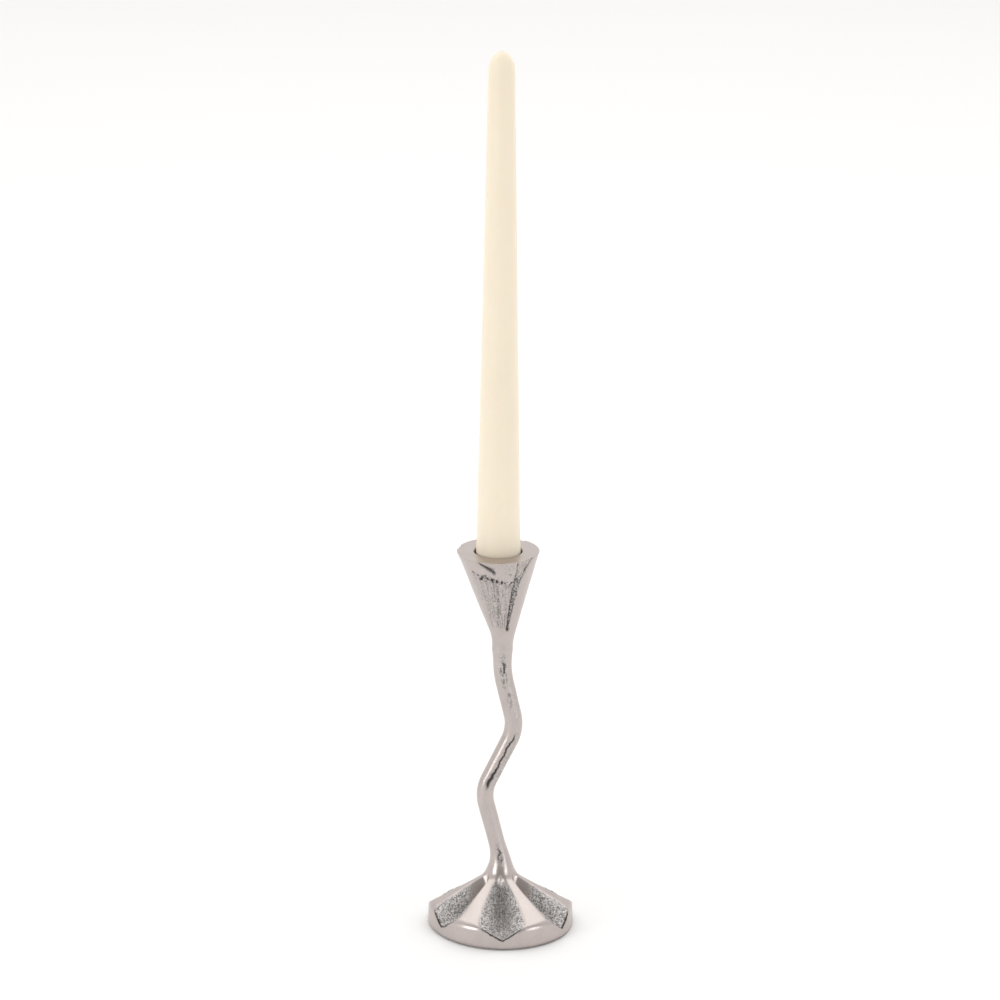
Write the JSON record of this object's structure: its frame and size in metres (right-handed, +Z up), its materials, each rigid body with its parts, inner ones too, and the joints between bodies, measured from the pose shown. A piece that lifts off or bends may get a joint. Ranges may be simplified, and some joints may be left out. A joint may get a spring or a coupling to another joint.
{
  "type": "candlestick",
  "caption": "Silver cast candlestick with a fluted round foot, a wavy stem and a pleated conical cup, holding an ivory taper candle.",
  "frame": {"origin": "on the table, under the middle of the round foot", "axes": "+Z up along the candlestick, +X to the right seen from the front, -Y towards the front; the stem waves in the XZ plane"},
  "size_m": [0.074, 0.074, 0.4514],
  "materials": {
    "cast_silver": "polished sand casting, rough in the flutes and the pleats",
    "zinc_steel": "bright zinc",
    "felt": "pressed felt",
    "wax": "smooth satin wax",
    "wick": "braided cotton"
  },
  "bodies": {
    "holder": {"foot": "cast_silver", "stem": "cast_silver", "cup": "cast_silver", "cup_stud": "zinc_steel", "foot_screw": "zinc_steel", "foot_lock_washer": "zinc_steel", "foot_washer": "zinc_steel", "felt_disc": "felt"},
    "candle": {"candle_wax": "wax", "candle_wick": "wick"}
  },
  "joints": [
    {"name": "candle_lift", "type": "slide", "parent": "holder", "child": "candle", "axis": [0, 0, 1], "range_m": [0, 0.03]}
  ]
}
